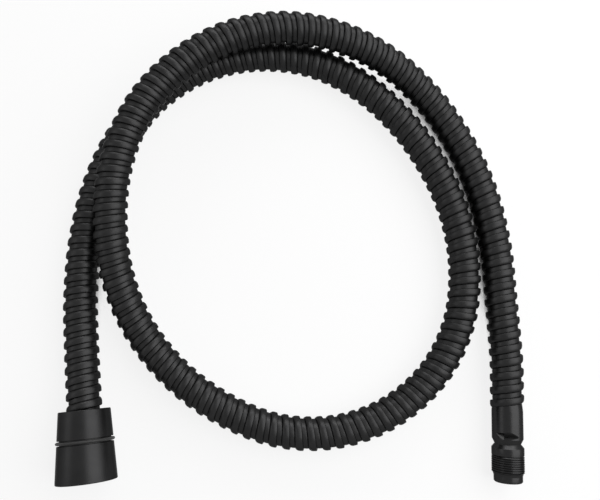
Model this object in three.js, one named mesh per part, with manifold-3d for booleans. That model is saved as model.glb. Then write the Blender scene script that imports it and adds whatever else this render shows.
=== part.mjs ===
// Black stripwound metal shower hose, lying in one loose loop on a flat surface.
// One end has a free-turning conical union nut, the other a fixed male threaded connector.
// Millimetres, +Z up. The origin is on the surface, under the middle of the part.
import * as THREE from "three";
import { mergeVertices } from "three/addons/utils/BufferGeometryUtils.js";
import Module from "manifold-3d";

const wasm = await Module();
wasm.setup();

// Clearances
const clearance = 0.3; // between pieces that touch
const floorClearance = 0.1; // under the lying hose

// Hose: a steel strip armour over a plain inner tube, sized from the outside in
const hoseOuterRadius = 7.75;
const armourWall = 1.25;
const ferruleWall = 0.5;
const innerTubeWall = 1.0;
const nippleWall = 1.05;
const armourSides = 12;
const innerTubeSides = 10;
const tubeSteps = 50;
const straightOutOfNut = 3;
const straightIntoConnector = 21; // more than one step of the tube

// Facets round the turned pieces
const bodySegments = 48;
const smallSegments = 40;
const ringSectionSides = 10;
const cutterSegments = 24;

// Conical union nut, measured along its axis from the small end at the hose to the mouth
const nutLength = 30.6;
const nutSmallRadius = 11.25;
const nutMouthRadius = 13.2;
const nutEdge = 0.5;
const nutShoulderStart = 13.5;
const nutShoulderThickness = 2.5;
const nutThreadBoreRadius = 9.3; // G 1/2 pipe thread, across its crests
const nutThreadDepth = 1.16;
const gripRingPosition = 13.4;
const gripRingSectionRadius = 0.8;
const gripRingStandOut = 0.55;
const gripGrooveWidth = 2.25;

// Pieces inside the nut
const ferruleCollarStandOut = 1.0;
const ferruleCollarThickness = 2.5;
const nippleFlangeThickness = 2.0;
const slipRingThickness = 1.0;
const sealWasherThickness = 2.0;
const sealWasherBoreRadius = 5.0;
const runningClearance = 0.4; // between the turning nut and what it turns on

// Barbs that hold the inner tube
const barbPitch = 2.5;
const barbDepth = 0.3;
const barbLength = 12;
const barbBeyondFerrule = 1.6;

// Male connector, measured along its axis from the hose to the tip
const sleeveRadius = 7.13;
const sleeveLength = 13.4;
const sleeveChamferLength = 2.2;
const sleeveChamferDepth = 0.5;
const waistRadius = 5.95;
const waistInLength = 2.5;
const waistOutLength = 1.8;
const collarRadius = 7.4;
const collarLength = 3.5;
const threadRadius = 7.42; // M15 x 1
const threadLength = 7.9;
const threadChamferLength = 1.4;
const pilotRadius = 6.55;
const pilotLength = 2.9;
const pilotEdge = 0.7;
const notchFloorHeight = 4.9; // two opposite notches to hold it by, from the axis to their floors
const notchRadius = 1.75;
const notchLand = 0.1; // left between a notch and the waist
const notchRoll = 20; // degrees, how far the notches are turned from level
const connectorBoreWall = 0.9; // from the bore to the notches
const boreStepDepth = 3;
const boreChamfer = 0.5;

// Where the two ends lie, and how far each points away from -Y and up, in degrees
const nutPlace = { x: -95.4, y: -75.65, yaw: 5.78, tilt: 5.5 };
const connectorPlace = { x: 99.43, y: -76.53, yaw: -1.55, tilt: 0 };

// Route of the hose between its ends: up the left side, once round, over itself and down the right
const routePoints = [
  [-98.1, -52.2, 9.1],
  [-100.2, -25.1, 7.9],
  [-99.2, 1.4, 7.85],
  [-94.1, 27.9, 7.85],
  [-83.9, 52.4, 7.85],
  [-67.7, 73.7, 7.85],
  [-45.4, 88.5, 7.85],
  [-19.4, 94.9, 7.85],
  [7.4, 92.3, 7.85],
  [31.6, 80.7, 7.85],
  [51.4, 62.9, 7.85],
  [66.8, 40.9, 7.85],
  [77.2, 16.4, 7.85],
  [81.2, -10.1, 7.85],
  [77.6, -36.6, 7.85],
  [65.1, -60.1, 7.85],
  [44.6, -77.5, 7.85],
  [19.2, -86.5, 7.85],
  [-7.6, -86, 7.85],
  [-32.6, -76.5, 7.85],
  [-54.7, -61.1, 8.05],
  [-71.9, -40.5, 9.6],
  [-82.2, -16.3, 14.2],
  [-85.4, 9.8, 19.6],
  [-82.6, 36.3, 22.8],
  [-72.8, 61.3, 24],
  [-55.4, 81.9, 24.4],
  [-32.7, 96.2, 24.1],
  [-6.6, 102.5, 22.4],
  [19.9, 100.2, 18.9],
  [44.6, 90.7, 13.7],
  [65.2, 74.3, 9],
  [80.7, 52.2, 7.85],
  [91.2, 27.5, 7.85],
  [96.8, 1.1, 7.85],
  [98.6, -25.6, 7.85],
];

// Sizes that follow
const armourInnerRadius = hoseOuterRadius - armourWall;
const ferruleOuterRadius = armourInnerRadius * Math.cos(Math.PI / armourSides) - clearance;
const ferruleInnerRadius = ferruleOuterRadius - ferruleWall;
const ferruleSkirtLength = barbLength - barbBeyondFerrule;
const innerTubeOuterRadius = ferruleInnerRadius - clearance;
const innerTubeInnerRadius = innerTubeOuterRadius - innerTubeWall;
const barbRadius = innerTubeInnerRadius * Math.cos(Math.PI / innerTubeSides) - clearance;
const nippleBoreRadius = barbRadius - nippleWall;
const nippleNeckRadius = armourInnerRadius;
const nippleFlangeRadius = nutThreadBoreRadius - runningClearance;
const ferruleCollarRadius = hoseOuterRadius + ferruleCollarStandOut;
const nutRearBoreRadius = ferruleCollarRadius + runningClearance;
const nutShoulderBoreRadius = nippleNeckRadius + runningClearance;
const nutShoulderEnd = nutShoulderStart + nutShoulderThickness;
const slipRingStart = nutShoulderEnd + clearance;
const nippleFlangeStart = slipRingStart + slipRingThickness + clearance;
const sealWasherStart = nippleFlangeStart + nippleFlangeThickness + clearance;
const ferruleCollarEnd = nutShoulderStart - clearance;
const ferruleCollarStart = ferruleCollarEnd - ferruleCollarThickness;
const armourStart = ferruleCollarStart - clearance; // where the armour ends inside the nut
const innerTubeStart = nutShoulderStart - clearance; // where the inner tube ends inside the nut
const connectorBoreRadius = notchFloorHeight - connectorBoreWall;
const waistStart = sleeveLength;
const waistMiddle = waistStart + waistInLength;
const collarStart = waistMiddle + waistOutLength;
const threadStart = collarStart + collarLength;
const threadEnd = threadStart + threadLength;
const pilotStart = threadEnd + threadChamferLength;
const connectorLength = pilotStart + pilotLength;
const notchMiddle = waistStart - notchLand - notchRadius;
const cutterWidth = 4 * sleeveRadius;

// Outer radius of the nut's cone at a distance from its small end
function coneRadius(along) {
  return nutSmallRadius + ((nutMouthRadius - nutSmallRadius) * along) / nutLength;
}

const gripRingOuterRadius = coneRadius(gripRingPosition) + gripRingStandOut;

// A group whose +Z is the axis of an end fitting, and whose +Y is up
function fittingFrame(place, height) {
  const frame = new THREE.Group();
  frame.position.set(place.x, place.y, height);
  const pitch = THREE.MathUtils.degToRad(90 - place.tilt);
  frame.rotation.set(pitch, 0, THREE.MathUtils.degToRad(place.yaw), "ZYX");
  frame.updateMatrixWorld(true);
  return frame;
}

// How high the axis is at the start of a tilted fitting that stands on its lowest point
function standingHeight(outline, tilt) {
  const angle = THREE.MathUtils.degToRad(tilt);
  const drops = outline.map(([radius, along]) => radius * Math.cos(angle) - along * Math.sin(angle));
  return Math.max(...drops);
}

// The stiff hose behind the nut holds it up on its grip ring
const nutOutlines = [...coneNutOutline(), ...gripRingOutline()];
const nutFrame = fittingFrame(nutPlace, standingHeight(nutOutlines, nutPlace.tilt));
const connectorFrame = fittingFrame(connectorPlace, hoseOuterRadius + floorClearance);

// Materials
const coatedMetal = { color: 0x1b1b1c, roughness: 0.42, metalness: 0.6 };
const finishes = {
  armour: coatedMetal,
  fitting: { ...coatedMetal, roughness: 0.36 },
  brass: { color: 0xb08a4a, roughness: 0.4, metalness: 1 },
  rubber: { color: 0x141414, roughness: 0.7, metalness: 0 },
  innerTube: { color: 0x2a2a2c, roughness: 0.6, metalness: 0 },
  whitePlastic: { color: 0xe6e4dc, roughness: 0.5, metalness: 0 },
};

function piece(name, geometry, finish) {
  const mesh = new THREE.Mesh(geometry, new THREE.MeshStandardMaterial(finishes[finish]));
  mesh.name = name;
  return mesh;
}

// A turned piece from a closed outline of [radius, along], outside going up and inside coming down
function turned(outline, segments = smallSegments) {
  const points = [...outline, outline[0]].map(([radius, along]) => new THREE.Vector2(radius, along));
  return new THREE.LatheGeometry(points, segments).rotateX(Math.PI / 2);
}

// The outside of a barbed tail from its free end up to where it meets the body
function barbOutline(start, end) {
  const points = [[barbRadius - barbDepth, start]];
  for (let along = start + barbPitch; along < end - barbPitch; along += barbPitch) {
    points.push([barbRadius, along], [barbRadius - barbDepth, along]);
  }
  points.push([barbRadius - barbDepth, end]);
  return points;
}

// Hose
function alongFitting(frame, along) {
  return new THREE.Vector3(0, 0, along).applyMatrix4(frame.matrixWorld);
}

function hoseCurve(startInNut) {
  return new THREE.CatmullRomCurve3([
    alongFitting(nutFrame, startInNut),
    alongFitting(nutFrame, 0),
    alongFitting(nutFrame, -straightOutOfNut),
    ...routePoints.map((point) => new THREE.Vector3(...point)),
    alongFitting(connectorFrame, -straightIntoConnector),
    alongFitting(connectorFrame, -ferruleSkirtLength - 2 * clearance),
    alongFitting(connectorFrame, -clearance),
  ]);
}

function ring(path, radius, sides) {
  for (let side = 0; side < sides; side += 1) {
    const angle = (2 * Math.PI * side) / sides;
    const move = side === 0 ? "moveTo" : "lineTo";
    path[move](radius * Math.cos(angle), radius * Math.sin(angle));
  }
  path.closePath();
  return path;
}

function tube(curve, outerRadius, innerRadius, sides) {
  const section = ring(new THREE.Shape(), outerRadius, sides);
  section.holes.push(ring(new THREE.Path(), innerRadius, sides));
  return new THREE.ExtrudeGeometry(section, {
    steps: tubeSteps,
    extrudePath: curve,
    bevelEnabled: false,
  });
}

// Nut
function coneNutOutline() {
  const grooveStart = gripRingPosition - gripGrooveWidth / 2;
  const grooveEnd = gripRingPosition + gripGrooveWidth / 2;
  const grooveRadius = gripRingOuterRadius - 2 * gripRingSectionRadius - clearance;
  return [
    [nutRearBoreRadius + nutEdge, 0],
    [nutSmallRadius - nutEdge, 0],
    [coneRadius(nutEdge), nutEdge],
    [coneRadius(grooveStart), grooveStart],
    [grooveRadius, grooveStart],
    [grooveRadius, grooveEnd],
    [coneRadius(grooveEnd), grooveEnd],
    [nutMouthRadius, nutLength - nutEdge],
    [nutMouthRadius - nutEdge, nutLength],
    [nutThreadBoreRadius + nutThreadDepth, nutLength],
    [nutThreadBoreRadius, nutLength - nutThreadDepth],
    [nutThreadBoreRadius, nutShoulderEnd],
    [nutShoulderBoreRadius, nutShoulderEnd],
    [nutShoulderBoreRadius, nutShoulderStart],
    [nutRearBoreRadius, nutShoulderStart],
    [nutRearBoreRadius, nutEdge],
  ];
}

function gripRingOutline() {
  const centre = gripRingOuterRadius - gripRingSectionRadius;
  const outline = [];
  for (let side = 0; side < ringSectionSides; side += 1) {
    const angle = (2 * Math.PI * side) / ringSectionSides;
    outline.push([
      centre + gripRingSectionRadius * Math.cos(angle),
      gripRingPosition + gripRingSectionRadius * Math.sin(angle),
    ]);
  }
  return outline;
}

function flatRing(innerRadius, outerRadius, start, thickness) {
  return turned([
    [innerRadius, start],
    [outerRadius, start],
    [outerRadius, start + thickness],
    [innerRadius, start + thickness],
  ]);
}

function nutNipple() {
  const flangeEnd = nippleFlangeStart + nippleFlangeThickness;
  return turned([
    [nippleBoreRadius, nutShoulderStart - barbLength],
    ...barbOutline(nutShoulderStart - barbLength, nutShoulderStart),
    [nippleNeckRadius, nutShoulderStart],
    [nippleNeckRadius, nippleFlangeStart],
    [nippleFlangeRadius, nippleFlangeStart],
    [nippleFlangeRadius, flangeEnd],
    [nippleBoreRadius + boreChamfer, flangeEnd],
    [nippleBoreRadius, flangeEnd - boreChamfer],
  ]);
}

function nutFerrule() {
  return turned([
    [ferruleInnerRadius, ferruleCollarStart - ferruleSkirtLength],
    [ferruleOuterRadius, ferruleCollarStart - ferruleSkirtLength],
    [ferruleOuterRadius, ferruleCollarStart],
    [ferruleCollarRadius, ferruleCollarStart],
    [ferruleCollarRadius, ferruleCollarEnd],
    [ferruleInnerRadius, ferruleCollarEnd],
  ]);
}

// Male connector
function connectorBlank() {
  return turned([
    [nippleBoreRadius, -barbLength],
    ...barbOutline(-barbLength, 0),
    [sleeveRadius - sleeveChamferDepth, 0],
    [sleeveRadius, sleeveChamferLength],
    [sleeveRadius, waistStart],
    [waistRadius, waistMiddle],
    [collarRadius, collarStart],
    [collarRadius, threadStart],
    [threadRadius, threadStart],
    [threadRadius, threadEnd],
    [pilotRadius, pilotStart],
    [pilotRadius, connectorLength - pilotEdge],
    [pilotRadius - pilotEdge, connectorLength],
    [connectorBoreRadius + boreChamfer, connectorLength],
    [connectorBoreRadius, connectorLength - boreChamfer],
    [connectorBoreRadius, boreStepDepth],
    [nippleBoreRadius, boreStepDepth],
  ], bodySegments);
}

function solidOf(geometry) {
  const bare = geometry.clone();
  bare.deleteAttribute("normal");
  bare.deleteAttribute("uv");
  const merged = mergeVertices(bare, 1e-5);
  const vertProperties = new Float32Array(merged.attributes.position.array);
  const triVerts = new Uint32Array(merged.index.array);
  return new wasm.Manifold(new wasm.Mesh({ numProp: 3, vertProperties, triVerts }));
}

function geometryOf(solid) {
  const { vertProperties, triVerts } = solid.getMesh();
  const geometry = new THREE.BufferGeometry();
  geometry.setAttribute("position", new THREE.BufferAttribute(vertProperties, 3));
  geometry.setIndex(new THREE.BufferAttribute(triVerts, 1));
  geometry.computeVertexNormals();
  return geometry;
}

// The round cutter that goes straight across the sleeve
function notchCutter() {
  const round = new THREE.CylinderGeometry(notchRadius, notchRadius, cutterWidth, cutterSegments);
  round.rotateZ(Math.PI / 2);
  return solidOf(round.translate(0, notchFloorHeight + notchRadius, notchMiddle));
}

function maleConnector() {
  let solid = solidOf(connectorBlank());
  for (const turn of [0, 180]) {
    solid = solid.subtract(notchCutter().rotate([0, 0, notchRoll + turn]));
  }
  return geometryOf(solid);
}

nutFrame.add(
  piece("cone_nut", turned(coneNutOutline(), bodySegments), "fitting"),
  piece("cone_grip_ring", turned(gripRingOutline(), bodySegments), "rubber"),
  piece(
    "nut_seal_washer",
    flatRing(sealWasherBoreRadius, nippleFlangeRadius, sealWasherStart, sealWasherThickness),
    "rubber",
  ),
  piece(
    "nut_slip_ring",
    flatRing(nippleNeckRadius + clearance, nippleFlangeRadius, slipRingStart, slipRingThickness),
    "whitePlastic",
  ),
  piece("nut_nipple", nutNipple(), "brass"),
  piece("nut_crimp_ferrule", nutFerrule(), "brass"),
);

connectorFrame.add(
  piece("male_connector", maleConnector(), "fitting"),
  piece(
    "male_crimp_ferrule",
    flatRing(ferruleInnerRadius, ferruleOuterRadius, -clearance - ferruleSkirtLength, ferruleSkirtLength),
    "brass",
  ),
);

const showerHose = new THREE.Group();
showerHose.add(
  piece(
    "hose_armour",
    tube(hoseCurve(armourStart), hoseOuterRadius, armourInnerRadius, armourSides),
    "armour",
  ),
  piece(
    "hose_inner_tube",
    tube(hoseCurve(innerTubeStart), innerTubeOuterRadius, innerTubeInnerRadius, innerTubeSides),
    "innerTube",
  ),
  nutFrame,
  connectorFrame,
);

export default showerHose;
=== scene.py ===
import math

import bmesh
import bpy
import numpy as np
from mathutils import Matrix, Vector


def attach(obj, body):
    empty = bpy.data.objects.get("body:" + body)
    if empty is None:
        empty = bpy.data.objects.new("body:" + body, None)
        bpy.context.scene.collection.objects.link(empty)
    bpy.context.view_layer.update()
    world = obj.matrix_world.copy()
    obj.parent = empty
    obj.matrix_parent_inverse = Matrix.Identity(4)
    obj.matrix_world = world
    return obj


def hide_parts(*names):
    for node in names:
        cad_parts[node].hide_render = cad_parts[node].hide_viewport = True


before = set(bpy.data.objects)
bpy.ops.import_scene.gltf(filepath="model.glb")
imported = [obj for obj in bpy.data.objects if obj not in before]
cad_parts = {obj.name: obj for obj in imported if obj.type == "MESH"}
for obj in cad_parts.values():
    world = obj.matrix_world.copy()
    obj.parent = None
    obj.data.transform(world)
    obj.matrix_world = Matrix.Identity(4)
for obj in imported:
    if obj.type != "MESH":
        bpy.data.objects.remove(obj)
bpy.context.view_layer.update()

MM = 0.001

# Camera: the photograph's angle, 36 mm sensor, in the frame's metres
CAMERA_PLACE = Vector((-0.01583, -0.04126, 0.30467))
CAMERA_LOOK = Vector((0.0581, 0.1305, -0.9897)).normalized()
CAMERA_LENS = 37.64
CAMERA_CLIP = (0.01, 50)
SENSOR_WIDTH = 36.0

# Hose, in metres and degrees as in the part's source
NUT_PLACE = (-0.0954, -0.07565, 0.011311)
NUT_YAW = 5.78
NUT_TILT = 5.5
CONNECTOR_PLACE = (0.09943, -0.07653, 0.00785)
CONNECTOR_YAW = -1.55
ARMOUR_START = 0.0104  # inside the nut
ARMOUR_END = 0.0003  # before the connector
STRAIGHT_OUT_OF_NUT = 0.003
STRAIGHT_INTO_CONNECTOR = 0.021
STRAIGHT_OVER_FERRULE = 0.011
ROUTE = [
    (-0.0981, -0.0522, 0.0091), (-0.1002, -0.0251, 0.0079), (-0.0992, 0.0014, 0.00785),
    (-0.0941, 0.0279, 0.00785), (-0.0839, 0.0524, 0.00785), (-0.0677, 0.0737, 0.00785),
    (-0.0454, 0.0885, 0.00785), (-0.0194, 0.0949, 0.00785), (0.0074, 0.0923, 0.00785),
    (0.0316, 0.0807, 0.00785), (0.0514, 0.0629, 0.00785), (0.0668, 0.0409, 0.00785),
    (0.0772, 0.0164, 0.00785), (0.0812, -0.0101, 0.00785), (0.0776, -0.0366, 0.00785),
    (0.0651, -0.0601, 0.00785), (0.0446, -0.0775, 0.00785), (0.0192, -0.0865, 0.00785),
    (-0.0076, -0.086, 0.00785), (-0.0326, -0.0765, 0.00785), (-0.0547, -0.0611, 0.00805),
    (-0.0719, -0.0405, 0.0096), (-0.0822, -0.0163, 0.0142), (-0.0854, 0.0098, 0.0196),
    (-0.0826, 0.0363, 0.0228), (-0.0728, 0.0613, 0.024), (-0.0554, 0.0819, 0.0244),
    (-0.0327, 0.0962, 0.0241), (-0.0066, 0.1025, 0.0224), (0.0199, 0.1002, 0.0189),
    (0.0446, 0.0907, 0.0137), (0.0652, 0.0743, 0.009), (0.0807, 0.0522, 0.00785),
    (0.0912, 0.0275, 0.00785), (0.0968, 0.0011, 0.00785), (0.0986, -0.0256, 0.00785),
]
CURVE_STEPS = 48  # between two points of the route
DIRECTION_REACH = 0.0006  # either way along the centreline, to find its direction

# Armour strip: one turn of its section, (part of the pitch, radius in mm), from nut to connector
RIB_PITCH = 5.78
RIB_PHASE = 0.754
RIB_SECTION = [
    (0.000, 6.60), (0.030, 7.35), (0.050, 7.62), (0.085, 7.74), (0.320, 7.75), (0.420, 7.67),
    (0.500, 7.50), (0.570, 7.22), (0.615, 6.95), (0.635, 6.50), (0.660, 6.62), (0.740, 6.66),
    (0.860, 6.66), (0.965, 6.62),
]
# How far the turns have slid along the bent hose: (station in m, slide in mm)
RIB_SLIDE = [
    (0, 0), (0.08, 0.4), (0.16, 2.4), (0.28, 2.6), (0.40, 2.2), (0.48, 0.8), (0.60, 0.2),
    (0.68, -2.0), (0.72, -3.6), (0.84, -4.6), (0.92, -2.5), (1.0, -1.2), (1.0203, 0),
]
RIB_COLUMNS = 36
STRIP_SHORT = 0.525  # turns before the connector, so that the strip ends on the underside
ARMOUR_BORE = 6.1
ARMOUR_BORE_RINGS = 170

# Edges sharper than this many degrees stay sharp
ARMOUR_SHARP = 50
FITTING_SHARP = 32
GRIP_SHARP = 60
CUT_SHARP = 25
FILLET_STEPS = 3


def fitting_frame(place, yaw, tilt):
    """Where a fitting is: +Z along its axis, away from the hose, and +Y up. In millimetres inside."""
    spin = Matrix.Rotation(math.radians(yaw), 4, "Z")
    turn = spin @ Matrix.Rotation(math.radians(90 - tilt), 4, "X")
    return Matrix.Translation(place) @ turn @ Matrix.Scale(MM, 4)


nut_frame = fitting_frame(NUT_PLACE, NUT_YAW, NUT_TILT)
connector_frame = fitting_frame(CONNECTOR_PLACE, CONNECTOR_YAW, 0)


# Camera
def add_camera():
    data = bpy.data.cameras.new("camera")
    data.sensor_fit = "HORIZONTAL"
    data.sensor_width = SENSOR_WIDTH
    data.lens = CAMERA_LENS
    data.clip_start, data.clip_end = CAMERA_CLIP
    camera = bpy.data.objects.new("camera", data)
    right = CAMERA_LOOK.cross(Vector((0, 1, 0))).normalized()
    up = right.cross(CAMERA_LOOK)
    turn = Matrix((right, up, -CAMERA_LOOK)).transposed().to_4x4()
    camera.matrix_world = Matrix.Translation(CAMERA_PLACE) @ turn
    bpy.context.scene.collection.objects.link(camera)
    bpy.context.scene.camera = camera


add_camera()


# Centreline of the hose: the source's centripetal curve through the same points
def centreline(points):
    points = [np.array(p, float) for p in points]
    ends = [2 * points[0] - points[1]] + points + [2 * points[-1] - points[-2]]
    line = []
    for a, b, c, d in zip(ends, ends[1:], ends[2:], ends[3:]):
        ta, tb, tc = (math.sqrt(np.linalg.norm(q - p)) for p, q in ((a, b), (b, c), (c, d)))
        slope_b = ((b - a) / ta - (c - a) / (ta + tb) + (c - b) / tb) * tb
        slope_c = ((c - b) / tb - (d - b) / (tb + tc) + (d - c) / tc) * tb
        for step in range(CURVE_STEPS):
            w = step / CURVE_STEPS
            line.append(b + slope_b * w + (-3 * b + 3 * c - 2 * slope_b - slope_c) * w**2
                        + (2 * b - 2 * c + slope_b + slope_c) * w**3)
    line.append(points[-1])
    return np.array(line)


def along(fitting, distance):
    return tuple(fitting @ Vector((0, 0, distance / MM)))


hose_line = centreline([
    along(nut_frame, ARMOUR_START),
    along(nut_frame, 0),
    along(nut_frame, -STRAIGHT_OUT_OF_NUT),
    *ROUTE,
    along(connector_frame, -STRAIGHT_INTO_CONNECTOR),
    along(connector_frame, -STRAIGHT_OVER_FERRULE),
    along(connector_frame, -ARMOUR_END),
])
hose_steps = np.linalg.norm(np.diff(hose_line, axis=0), axis=1)
hose_stations = np.concatenate([[0], np.cumsum(hose_steps)])
hose_length = hose_stations[-1]


def centre_at(station):
    return np.stack([np.interp(station, hose_stations, hose_line[:, i]) for i in range(3)], axis=-1)


def on_hose(station, radius, angle):
    """Points round the centreline. station in metres, radius in millimetres, angle 0 at the top."""
    station, radius, angle = np.broadcast_arrays(station, radius, angle)
    inside = np.clip(station, 0, hose_length)
    ahead = np.clip(inside + DIRECTION_REACH, 0, hose_length)
    behind = np.clip(inside - DIRECTION_REACH, 0, hose_length)
    way = centre_at(ahead) - centre_at(behind)
    way /= np.linalg.norm(way, axis=-1, keepdims=True)
    up = np.array([0, 0, 1.0]) - way[..., 2:3] * way
    up /= np.linalg.norm(up, axis=-1, keepdims=True)
    side = np.cross(way, up)
    out = np.cos(angle)[..., None] * up + np.sin(angle)[..., None] * side
    return centre_at(inside) + radius[..., None] * MM * out


def on_fitting(fitting):
    """Places points round a fitting's axis, station and radius in millimetres, angle 0 at +Y."""
    matrix = np.array(fitting)

    def place(station, radius, angle):
        station, radius, angle = np.broadcast_arrays(station, radius, angle)
        across, height = radius * np.sin(angle), radius * np.cos(angle)
        local = np.stack([across, height, station, np.ones_like(radius)], -1)
        return (local @ matrix.T)[..., :3]

    return place


# Meshes turned round an axis, with plain rings and helical bands
class Turned:
    """A mesh built from rings of points, one point per column."""

    def __init__(self, columns):
        self.columns = columns
        self.points = []
        self.faces = []

    def point(self, station, radius, column):
        self.points.append((station, radius, 2 * math.pi * column / self.columns))
        return len(self.points) - 1

    def ring(self, station, radius):
        return [self.point(station, radius, column) for column in range(self.columns)]

    def face(self, corners):
        kept = [v for i, v in enumerate(corners) if v != corners[i - 1]]
        if len(set(kept)) > 2:
            self.faces.append(kept)

    def bridge(self, first, last):
        for column in range(self.columns):
            after = (column + 1) % self.columns
            self.face([first[column], last[column], last[after], first[after]])

    def band(self, start, end, pitch, section, phase=0.0, fade=None, strip_end=None):
        """A right-hand helical band. Its rings follow the helix, so the section's edges stay sharp.
        Past strip_end, in turns, only the section's last radius goes on."""
        turns = math.ceil((end - start) / pitch) + 2
        size = len(section)
        parts = [part for part, _ in section] + [1.0]
        radii = [radius for _, radius in section] + [section[0][1]]
        grid, first, last = [], [], []
        for column in range(self.columns):
            lead = column / self.columns + phase
            row, ends = [], {}
            for step in range((turns + 3) * size):
                part, radius = section[step % size]
                turn = step // size - 2 + lead
                station = start + pitch * (turn + part)
                if strip_end and turn > strip_end:
                    radius = section[-1][1]
                if start < station < end:
                    row.append(self.point(station, fade(station, radius) if fade else radius, column))
                    continue
                edge = start if station <= start else end
                if edge not in ends:
                    past = (edge - start) / pitch - lead
                    radius = np.interp(past % 1, parts, radii)
                    if strip_end and math.floor(past) + lead > strip_end:
                        radius = section[-1][1]
                    ends[edge] = self.point(edge, fade(edge, radius) if fade else radius, column)
                row.append(ends[edge])
            grid.append(row)
            first.append(ends[start])
            last.append(ends[end])
        for column in range(self.columns):
            here = grid[column]
            if column + 1 < self.columns:
                after = grid[column + 1]
            else:
                after = grid[0][size:] + [last[0]] * size
            for low in range(len(here) - 1):
                self.face([here[low], here[low + 1], after[low + 1], after[low]])
        return first, last

    def chain(self, parts):
        """Joins rings and bands into one closed skin.
        A part is (station, radius) or a band's two ends."""
        ends = []
        for part in parts:
            if isinstance(part[0], list):
                ends.append(part)
            else:
                ring = self.ring(*part)
                ends.append((ring, ring))
        for (_, here), (after, _) in zip(ends, ends[1:] + ends[:1]):
            self.bridge(here, after)

    def build(self, name, place, sharp):
        table = np.array(self.points)
        places = place(table[:, 0], table[:, 1], table[:, 2])
        mesh = bpy.data.meshes.new(name)
        mesh.from_pydata(places.tolist(), [], self.faces)
        mesh.validate()
        piece = bpy.data.objects.new(name, mesh)
        bpy.context.scene.collection.objects.link(piece)
        outward(mesh)
        smooth(mesh, sharp)
        return piece


def outward(mesh):
    """Turns the faces so that they all look out."""
    work = bmesh.new()
    work.from_mesh(mesh)
    bmesh.ops.recalc_face_normals(work, faces=work.faces)
    if work.calc_volume(signed=True) < 0:
        bmesh.ops.reverse_faces(work, faces=work.faces)
    work.to_mesh(mesh)
    work.free()


def smooth(mesh, sharp):
    mesh.shade_smooth()
    mesh.set_sharp_from_angle(angle=math.radians(sharp))


def rounded(outline):
    """Rings of (station, radius) from a turned outline of (radius, station[, fillet])."""
    rings = []
    count = len(outline)
    for i, corner in enumerate(outline):
        here = np.array(corner[:2], float)
        if len(corner) < 3:
            rings.append((here[1], here[0]))
            continue
        before = np.array(outline[i - 1][:2], float) - here
        after = np.array(outline[(i + 1) % count][:2], float) - here
        before /= np.linalg.norm(before)
        after /= np.linalg.norm(after)
        half = math.acos(max(-1, min(1, before @ after))) / 2
        reach = corner[2] / math.tan(half)
        middle = here + (before + after) / np.linalg.norm(before + after) * corner[2] / math.sin(half)
        first, last = here + before * reach - middle, here + after * reach - middle
        for step in range(FILLET_STEPS + 1):
            mix = first * (FILLET_STEPS - step) / FILLET_STEPS + last * step / FILLET_STEPS
            spot = middle + mix / np.linalg.norm(mix) * corner[2]
            rings.append((spot[1], spot[0]))
    return rings


def run_out(start, end, plain, length):
    """Fades a thread into a plain radius at both of its ends."""
    def fade(station, radius):
        near = min(station - start, end - station) / length
        return plain + (radius - plain) * max(0.0, min(1.0, near))
    return fade


# Hose armour
def add_armour():
    skin = Turned(RIB_COLUMNS)
    pitch = RIB_PITCH * MM
    strip_end = hose_length / pitch - STRIP_SHORT
    band = skin.band(0.0, hose_length, pitch, RIB_SECTION, RIB_PHASE, strip_end=strip_end)
    steps = range(ARMOUR_BORE_RINGS + 1)
    inside = [(hose_length * (1 - i / ARMOUR_BORE_RINGS), ARMOUR_BORE) for i in steps]
    skin.chain([band, *inside])
    slides = np.array(RIB_SLIDE)

    def place(station, radius, angle):
        slide = np.interp(station, slides[:, 0], slides[:, 1]) * MM
        return on_hose(station + slide, radius, angle)

    return skin.build("hose_ribs", place, ARMOUR_SHARP)


hose = add_armour()

# Conical nut, in millimetres from its small end
NUT_LENGTH = 30.6
NUT_SMALL = 11.25
NUT_MOUTH = 13.2
NUT_EDGE = 0.45  # radius of its outer edges
NUT_REAR_BORE = 9.15
NUT_REAR_EDGE = 0.3
NUT_SHOULDER_BORE = 6.9
NUT_SHOULDER_RANGE = (13.5, 16.0)
NUT_INSIDE_EDGE = 0.2
NUT_CHAMFER_RADIUS = 10.46
NUT_CHAMFER_START = 29.44
NUT_CHAMFER_EDGE = 0.12
NUT_COLUMNS = 144
GRIP_STATION = 13.4
GRIP_SECTION = 0.68
GRIP_STAND_OUT = 0.55
GRIP_SIDES = 20
GROOVE_HALF = 1.125
GROOVE_ROOM = 0.3  # under the ring
GROOVE_EDGE = 0.18
NUT_THREAD_PITCH = 1.814
NUT_THREAD_CREST = 9.3
NUT_THREAD_ROOT = 10.4
NUT_THREAD_RANGE = (17.4, 29.2)
NUT_THREAD_RUN_OUT = 1.2
# One turn of each thread's section: (part of the pitch, radius)
NUT_THREAD_SECTION = [
    (0.0, NUT_THREAD_CREST), (0.13, NUT_THREAD_CREST), (0.44, NUT_THREAD_ROOT),
    (0.56, NUT_THREAD_ROOT), (0.87, NUT_THREAD_CREST),
]


def cone(station):
    return NUT_SMALL + (NUT_MOUTH - NUT_SMALL) * station / NUT_LENGTH


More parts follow.
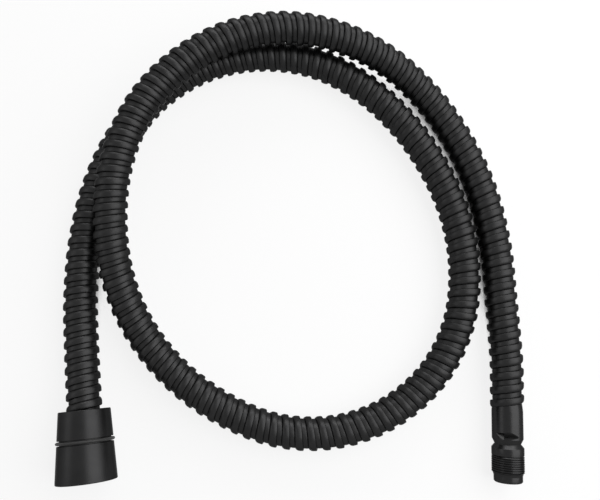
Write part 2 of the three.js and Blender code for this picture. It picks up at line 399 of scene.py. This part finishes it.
def add_nut():
    skin = Turned(NUT_COLUMNS)
    ring_out = cone(GRIP_STATION) + GRIP_STAND_OUT
    floor = ring_out - 2 * GRIP_SECTION - GROOVE_ROOM
    low, high = GRIP_STATION - GROOVE_HALF, GRIP_STATION + GROOVE_HALF
    outside = rounded([
        (NUT_REAR_BORE, 0, NUT_REAR_EDGE), (NUT_SMALL, 0, NUT_EDGE),
        (cone(low), low, GROOVE_EDGE), (floor, low), (floor, high), (cone(high), high, GROOVE_EDGE),
        (NUT_MOUTH, NUT_LENGTH, NUT_EDGE), (NUT_CHAMFER_RADIUS, NUT_LENGTH, NUT_CHAMFER_EDGE),
        (NUT_THREAD_CREST, NUT_CHAMFER_START),
    ])
    start, end = NUT_THREAD_RANGE
    fade = run_out(start, end, NUT_THREAD_CREST, NUT_THREAD_RUN_OUT)
    thread = skin.band(start, end, NUT_THREAD_PITCH, NUT_THREAD_SECTION, fade=fade)
    shoulder_start, shoulder_end = NUT_SHOULDER_RANGE
    inside = rounded([
        (NUT_THREAD_CREST, shoulder_end, NUT_INSIDE_EDGE),
        (NUT_SHOULDER_BORE, shoulder_end, NUT_INSIDE_EDGE),
        (NUT_SHOULDER_BORE, shoulder_start, NUT_INSIDE_EDGE),
        (NUT_REAR_BORE, shoulder_start, NUT_INSIDE_EDGE),
    ])
    skin.chain([*outside, (thread[1], thread[0]), *inside])
    return skin.build("nut_body", on_fitting(nut_frame), FITTING_SHARP)


def add_grip_ring():
    skin = Turned(NUT_COLUMNS)
    middle = cone(GRIP_STATION) + GRIP_STAND_OUT - GRIP_SECTION
    turns = [2 * math.pi * side / GRIP_SIDES for side in range(GRIP_SIDES)]
    skin.chain([
        (GRIP_STATION + GRIP_SECTION * math.sin(a), middle + GRIP_SECTION * math.cos(a)) for a in turns
    ])
    return skin.build("nut_grip_ring", on_fitting(nut_frame), GRIP_SHARP)


nut = add_nut()
grip_ring = add_grip_ring()

# Male connector, in millimetres from the end of its sleeve at the hose
CONNECTOR_COLUMNS = 128
BARB_ROOT = 3.374
BARB_CREST = 3.674
BARB_START = -12
BARB_FIRST = -9.5
BARB_PITCH = 2.5
BARB_COUNT = 4
BARB_BORE = 2.624
BARB_BORE_END = 3
SLEEVE_UNDER_RIB = 2.2  # how far the sleeve goes on under the last rib
SLEEVE_START_BORE = 6.15
SLEEVE_START_RADIUS = 6.75
SLEEVE_START_EDGE = 0.15
SLEEVE_RADIUS = 7.13
SLEEVE_RANGE = (1.2, 13.8)  # where it has its full radius
SLEEVE_SHOULDER = 1.5  # radius of the rounding where it reaches that
SLEEVE_EDGE = 0.25
WAIST_RADIUS = 5.95
WAIST_STATION = 16.2
WAIST_EDGE = 0.2
COLLAR_RADIUS = 7.4
COLLAR_RANGE = (17.9, 21.2)
COLLAR_EDGES = (0.2, 0.1)
NECK_RADIUS = 6.9  # at both ends of the thread
CONNECTOR_THREAD_PITCH = 1.0
CONNECTOR_THREAD_RANGE = (21.35, 29.3)
CONNECTOR_THREAD_CREST = 7.42
CONNECTOR_THREAD_ROOT = 6.98
CONNECTOR_THREAD_PLAIN = 6.95  # what it runs out into
CONNECTOR_THREAD_RUN_OUT = 0.5
CONNECTOR_THREAD_SECTION = [
    (0.0, CONNECTOR_THREAD_ROOT), (0.1, CONNECTOR_THREAD_ROOT), (0.33, CONNECTOR_THREAD_CREST),
    (0.72, CONNECTOR_THREAD_CREST), (0.95, CONNECTOR_THREAD_ROOT),
]
TIP_NECK_STATION = 29.35
TIP_RADIUS = 6.55
TIP_RANGE = (30.5, 33.4)
TIP_EDGES = (0.3, 0.7)
TIP_MOUTH_RADIUS = 4.5
TIP_MOUTH_EDGE = 0.1
TIP_BORE = 4.0
TIP_BORE_START = 32.9

# Notches: outlines of (distance from the notch's middle, height over the axis), cut across the
# sleeve. The shallow one takes over where x in the notch's own frame is below NOTCH_CHANGE.
CUTTER_REACH = 12.0  # well outside the sleeve
NOTCH_MIDDLE = 11.9
NOTCH_ROLL = 20.0
NOTCH_STEEP = [
    (-1.65, CUTTER_REACH), (-1.65, 7.13), (0.7, 5.05), (1.65, 7.1), (1.65, CUTTER_REACH),
]
NOTCH_SHALLOW = [
    (-1.2, CUTTER_REACH), (-1.2, 6.4), (-0.9, 5.0), (1.7, 6.7), (1.7, CUTTER_REACH),
]
NOTCH_CHANGE = -1.6
# The notch's faces have their middle this near to it, and this far from the axis
NOTCH_HALF = 1.8
NOTCH_FACES = (4.9, 7.1)


def add_connector():
    skin = Turned(CONNECTOR_COLUMNS)
    barbs = [(BARB_ROOT, BARB_START)]
    for i in range(BARB_COUNT):
        barbs += [(BARB_CREST, BARB_FIRST + BARB_PITCH * i), (BARB_ROOT, BARB_FIRST + BARB_PITCH * i)]
    body = rounded([
        (BARB_BORE, BARB_START), *barbs, (BARB_ROOT, 0), (SLEEVE_START_BORE, 0),
        (SLEEVE_START_BORE, -SLEEVE_UNDER_RIB),
        (SLEEVE_START_RADIUS, -SLEEVE_UNDER_RIB, SLEEVE_START_EDGE),
        (SLEEVE_RADIUS, SLEEVE_RANGE[0], SLEEVE_SHOULDER), (SLEEVE_RADIUS, SLEEVE_RANGE[1], SLEEVE_EDGE),
        (WAIST_RADIUS, WAIST_STATION, WAIST_EDGE),
        (COLLAR_RADIUS, COLLAR_RANGE[0], COLLAR_EDGES[0]),
        (COLLAR_RADIUS, COLLAR_RANGE[1], COLLAR_EDGES[1]),
        (NECK_RADIUS, CONNECTOR_THREAD_RANGE[0]),
    ])
    start, end = CONNECTOR_THREAD_RANGE
    fade = run_out(start, end, CONNECTOR_THREAD_PLAIN, CONNECTOR_THREAD_RUN_OUT)
    thread = skin.band(start, end, CONNECTOR_THREAD_PITCH, CONNECTOR_THREAD_SECTION, fade=fade)
    tip = rounded([
        (NECK_RADIUS, TIP_NECK_STATION),
        (TIP_RADIUS, TIP_RANGE[0], TIP_EDGES[0]), (TIP_RADIUS, TIP_RANGE[1], TIP_EDGES[1]),
        (TIP_MOUTH_RADIUS, TIP_RANGE[1], TIP_MOUTH_EDGE), (TIP_BORE, TIP_BORE_START),
        (TIP_BORE, BARB_BORE_END), (BARB_BORE, BARB_BORE_END),
    ])
    skin.chain([*body, thread, *tip])
    return skin.build("connector_body", on_fitting(Matrix.Identity(4)), FITTING_SHARP)


def prism(outline, low, high):
    """A closed rod along X with an outline of (station, height)."""
    count = len(outline)
    points = [(x, height, station) for x in (low, high) for station, height in outline]
    faces = [tuple(range(count)), tuple(range(2 * count - 1, count - 1, -1))]
    faces += [(i, i + count, (i + 1) % count + count, (i + 1) % count) for i in range(count)]
    return points, faces


def cut(piece, cutters):
    """Cuts closed solids out of a piece, for good."""
    for index, (points, faces, turn) in enumerate(cutters):
        mesh = bpy.data.meshes.new(f"cutter_{index}")
        mesh.from_pydata([tuple(turn @ Vector(p)) for p in points], [], faces)
        outward(mesh)
        tool = bpy.data.objects.new(mesh.name, mesh)
        bpy.context.scene.collection.objects.link(tool)
        modifier = piece.modifiers.new("cut", "BOOLEAN")
        modifier.operation = "DIFFERENCE"
        modifier.solver = "EXACT"
        modifier.object = tool
        seen = piece.evaluated_get(bpy.context.evaluated_depsgraph_get())
        done = bpy.data.meshes.new_from_object(seen)
        piece.modifiers.clear()
        piece.data = done
        bpy.data.objects.remove(tool)


def notch_cutters():
    """Two notches, opposite each other."""
    cutters = []
    for side in (0, 180):
        roll = Matrix.Rotation(math.radians(NOTCH_ROLL + side), 4, "Z")
        turn = roll @ Matrix.Translation((0, 0, NOTCH_MIDDLE))
        cutters.append((*prism(NOTCH_STEEP, NOTCH_CHANGE, CUTTER_REACH), turn))
        cutters.append((*prism(NOTCH_SHALLOW, -CUTTER_REACH, NOTCH_CHANGE), turn))
    return cutters


def in_notch(face):
    x, y, station = face.center
    near = abs(station - NOTCH_MIDDLE) < NOTCH_HALF
    return near and NOTCH_FACES[0] < math.hypot(x, y) < NOTCH_FACES[1]


# The connector is cut along its own axis, and put in its place after that
connector = add_connector()
cut(connector, notch_cutters())
connector.data.name = "connector_body"
# Faces in the notches take slot 1, a copy of the black coating that lifts the shade in the notch:
# painted light
for face in connector.data.polygons:
    face.material_index = 1 if in_notch(face) else 0
connector.data.transform(connector_frame)
smooth(connector.data, CUT_SHARP)

# Materials. Scales are in waves to the metre, depths in metres.
NOISE_RANGE = (0.3, 0.7)  # where most of the noise lies
COATING_METAL = 0.88
COATING_TINT = (0.4, 0.4, 0.4, 1)
COATING_CLOUD = 180.0
COATING_GLOSS = 420.0
COATING_GRAIN = 2300.0
COATING_DEPTH = 0.000018


def material(name):
    made = bpy.data.materials.new(name)
    made.use_nodes = True
    tree = made.node_tree
    return made, tree, tree.nodes["Principled BSDF"]


def add_node(tree, kind, **settings):
    """A node with its inputs, or else its own settings, as given."""
    node = tree.nodes.new(kind)
    for key, value in settings.items():
        if key in node.inputs:
            node.inputs[key].default_value = value
        else:
            setattr(node, key, value)
    return node


def map_range(tree, source, taken, given):
    """Maps one range of values onto another, and holds at its ends."""
    node = tree.nodes.new("ShaderNodeMapRange")
    for key, value in zip(("From Min", "From Max", "To Min", "To Max"), (*taken, *given)):
        node.inputs[key].default_value = value
    tree.links.new(source, node.inputs["Value"])
    return node


def ramp(tree, source, low, high):
    node = tree.nodes.new("ShaderNodeValToRGB")
    for element, position, colour in zip(node.color_ramp.elements, NOISE_RANGE, (low, high)):
        element.position = position
        element.color = (*colour, 1)
    tree.links.new(source, node.inputs["Fac"])
    return node.outputs["Color"]


def noise(tree, scale, detail=4.0, roughness=0.6):
    """Noise in the part's own space, so that it moves with the piece."""
    coordinates = tree.nodes.new("ShaderNodeTexCoord").outputs["Object"]
    node = add_node(tree, "ShaderNodeTexNoise", Scale=scale, Detail=detail, Roughness=roughness)
    tree.links.new(coordinates, node.inputs["Vector"])
    return node.outputs["Fac"]


def spread(tree, source, given):
    return map_range(tree, source, NOISE_RANGE, given).outputs["Result"]


def bump(tree, shader, source, distance):
    node = add_node(tree, "ShaderNodeBump", Strength=1.0, Distance=distance)
    tree.links.new(source, node.inputs["Height"])
    tree.links.new(node.outputs["Normal"], shader.inputs["Normal"])


def coated_metal(name, low, high, rough):
    """Satin black coating: fine grain in the surface, and a faint cloudiness in colour and gloss."""
    made, tree, shader = material(name)
    cloud = noise(tree, COATING_CLOUD, 3.0)
    tree.links.new(ramp(tree, cloud, low, high), shader.inputs["Base Color"])
    tree.links.new(spread(tree, noise(tree, COATING_GLOSS, 5.0), rough), shader.inputs["Roughness"])
    bump(tree, shader, noise(tree, COATING_GRAIN, 3.0, 0.7), COATING_DEPTH)
    shader.inputs["Metallic"].default_value = COATING_METAL
    shader.inputs["Specular Tint"].default_value = COATING_TINT
    return made


def plain_material(name, low, high, rough, scale, depth, metallic=0.0, gloss=0.5):
    """Rubber, plastic or bare metal, with cloudiness of one scale and finer bumps."""
    made, tree, shader = material(name)
    tree.links.new(ramp(tree, noise(tree, scale, 4.0), low, high), shader.inputs["Base Color"])
    tree.links.new(spread(tree, noise(tree, scale * 2), rough), shader.inputs["Roughness"])
    bump(tree, shader, noise(tree, scale * 4, 3.0), depth)
    shader.inputs["Metallic"].default_value = metallic
    shader.inputs["Specular IOR Level"].default_value = gloss
    return made


armour_black = coated_metal(
    "armour_black", (0.0195, 0.0195, 0.0198), (0.0245, 0.0245, 0.0248), (0.36, 0.44))
nut_black = coated_metal(
    "nut_black", (0.0185, 0.0185, 0.0188), (0.021, 0.021, 0.0213), (0.33, 0.38))
connector_black = coated_metal(
    "connector_black", (0.020, 0.020, 0.0203), (0.0225, 0.0225, 0.0228), (0.25, 0.30))
# Painted light: a duller, non-metal copy of the coating for the notch's faces, set so that the shade in
# the notch renders lighter
notch_painted_light = plain_material(
    "notch_painted_light", (0.013, 0.013, 0.0132), (0.018, 0.018, 0.0182), (0.32, 0.38), 900.0, 0.00001,
    gloss=0.25)
rubber_black = plain_material(
    "rubber_black", (0.01, 0.01, 0.01), (0.016, 0.016, 0.016), (0.5, 0.62), 900.0, 0.00001, gloss=0.3)
seal_black = plain_material(
    "seal_black", (0.012, 0.012, 0.012), (0.02, 0.02, 0.02), (0.6, 0.75), 700.0, 0.00002)
tube_black = plain_material(
    "tube_black", (0.012, 0.012, 0.013), (0.02, 0.02, 0.021), (0.45, 0.55), 500.0, 0.00001)
brass = plain_material(
    "brass", (0.55, 0.38, 0.15), (0.66, 0.48, 0.22), (0.25, 0.4), 300.0, 0.000006, metallic=1.0)
slip_plastic = plain_material(
    "slip_plastic", (0.72, 0.71, 0.66), (0.8, 0.79, 0.74), (0.4, 0.5), 400.0, 0.00001)


def finish(piece, made):
    # The connector has no material yet, and its faces keep their slots
    if len(piece.data.materials):
        piece.data.materials.clear()
    piece.data.materials.append(made)


for name, made in (
    ("hose_inner_tube", tube_black),
    ("nut_seal_washer", seal_black),
    ("nut_slip_ring", slip_plastic),
    ("nut_nipple", brass),
    ("nut_crimp_ferrule", brass),
    ("male_crimp_ferrule", brass),
):
    finish(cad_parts[name], made)

# What each piece is
for piece, node, body, slot, made in (
    (hose, "hose_armour", "hose", "armour", armour_black),
    (nut, "cone_nut", "union_nut", "fitting", nut_black),
    (grip_ring, "cone_grip_ring", "union_nut", "rubber", rubber_black),
    (connector, "male_connector", "hose", "fitting", connector_black),
):
    finish(piece, made)
    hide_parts(node)
    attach(piece, body)

# Slot 1: the notch's copy of the coating, painted light in its shade
connector.data.materials.append(notch_painted_light)

# Floor, background and light, in metres
FLOOR_HALF = 6.0
FLOOR_DROP = 0.00002  # under the part
FLOOR_COLOUR = (0.9, 0.9, 0.9, 1)
FLOOR_ROUGHNESS = 0.9
FLOOR_GLOSS = 0.1
FLOOR_WHITENING = 0.85  # the share of pure white near the part, so that its shadow shows
FLOOR_FADE = (0.4, 1.4)  # from here to there the floor turns all white
FLOOR_GAP = 0.03  # how far the floor looks for what closes it in
FLOOR_OPENNESS = (0.1, 0.16)  # narrow gaps, with less than this, keep a dark shadow
WORLD_LIGHT = 0.05
LAMP_TARGET = Vector((0, 0, 0))
# Name, place, size and watts
LAMPS = (
    ("key", (0.47, 0.084, 0.53), (0.96, 0.78), 7.0),
    ("north", (0.15, 1.15, 0.42), (1.3, 0.7), 12.5),
    ("west", (-1.05, 0.1, 0.6), (0.9, 0.45), 1.7),
)


def seen_directly(tree):
    """1 where the camera, or a reflection in the object, looks at the surface.
    0 where it only gives light."""
    path = tree.nodes.new("ShaderNodeLightPath")
    joined = path.outputs["Is Camera Ray"]
    for output in ("Is Glossy Ray", "Is Transmission Ray"):
        larger = add_node(tree, "ShaderNodeMath", operation="MAXIMUM")
        tree.links.new(joined, larger.inputs[0])
        tree.links.new(path.outputs[output], larger.inputs[1])
        joined = larger.outputs[0]
    return joined


def floor_whiteness(tree):
    """How white the floor looks: less near the part, and none in narrow gaps."""
    middle = add_node(tree, "ShaderNodeVectorMath", operation="LENGTH")
    tree.links.new(tree.nodes.new("ShaderNodeTexCoord").outputs["Object"], middle.inputs[0])
    far = map_range(tree, middle.outputs["Value"], FLOOR_FADE, (FLOOR_WHITENING, 1))
    openness = add_node(tree, "ShaderNodeAmbientOcclusion", Distance=FLOOR_GAP)
    lifted = map_range(tree, openness.outputs["AO"], FLOOR_OPENNESS, (0, 1))
    tree.links.new(far.outputs["Result"], lifted.inputs["To Max"])
    whiten = add_node(tree, "ShaderNodeMath", operation="MULTIPLY")
    tree.links.new(seen_directly(tree), whiten.inputs[0])
    tree.links.new(lifted.outputs["Result"], whiten.inputs[1])
    return whiten.outputs[0]


def add_floor():
    mesh = bpy.data.meshes.new("floor")
    corners = [(x * FLOOR_HALF, y * FLOOR_HALF, 0) for x, y in ((-1, -1), (1, -1), (1, 1), (-1, 1))]
    mesh.from_pydata(corners, [], [(0, 1, 2, 3)])
    floor = bpy.data.objects.new("floor", mesh)
    bpy.context.scene.collection.objects.link(floor)
    floor.location.z = -FLOOR_DROP
    made, tree, shader = material("floor_white")
    shader.inputs["Base Color"].default_value = FLOOR_COLOUR
    shader.inputs["Roughness"].default_value = FLOOR_ROUGHNESS
    shader.inputs["Specular IOR Level"].default_value = FLOOR_GLOSS
    glow = add_node(tree, "ShaderNodeEmission", Color=(1, 1, 1, 1))
    mix = tree.nodes.new("ShaderNodeMixShader")
    tree.links.new(floor_whiteness(tree), mix.inputs["Fac"])
    tree.links.new(shader.outputs[0], mix.inputs[1])
    tree.links.new(glow.outputs[0], mix.inputs[2])
    tree.links.new(mix.outputs[0], tree.nodes["Material Output"].inputs["Surface"])
    finish(floor, made)


def add_light(name, place, size, power):
    data = bpy.data.lights.new(name, "AREA")
    data.shape = "RECTANGLE"
    data.size, data.size_y = size
    data.energy = power
    light = bpy.data.objects.new(name, data)
    light.location = place
    light.rotation_euler = (LAMP_TARGET - Vector(place)).to_track_quat("-Z", "Y").to_euler()
    bpy.context.scene.collection.objects.link(light)


def add_world():
    world = bpy.data.worlds.new("studio")
    bpy.context.scene.world = world
    world.use_nodes = True
    tree = world.node_tree
    background = tree.nodes["Background"]
    background.inputs["Color"].default_value = (1, 1, 1, 1)
    strength = map_range(tree, seen_directly(tree), (0, 1), (WORLD_LIGHT, 1))
    tree.links.new(strength.outputs["Result"], background.inputs["Strength"])


add_floor()
add_world()
for lamp in LAMPS:
    add_light(*lamp)
bpy.context.scene.view_settings.view_transform = "Standard"
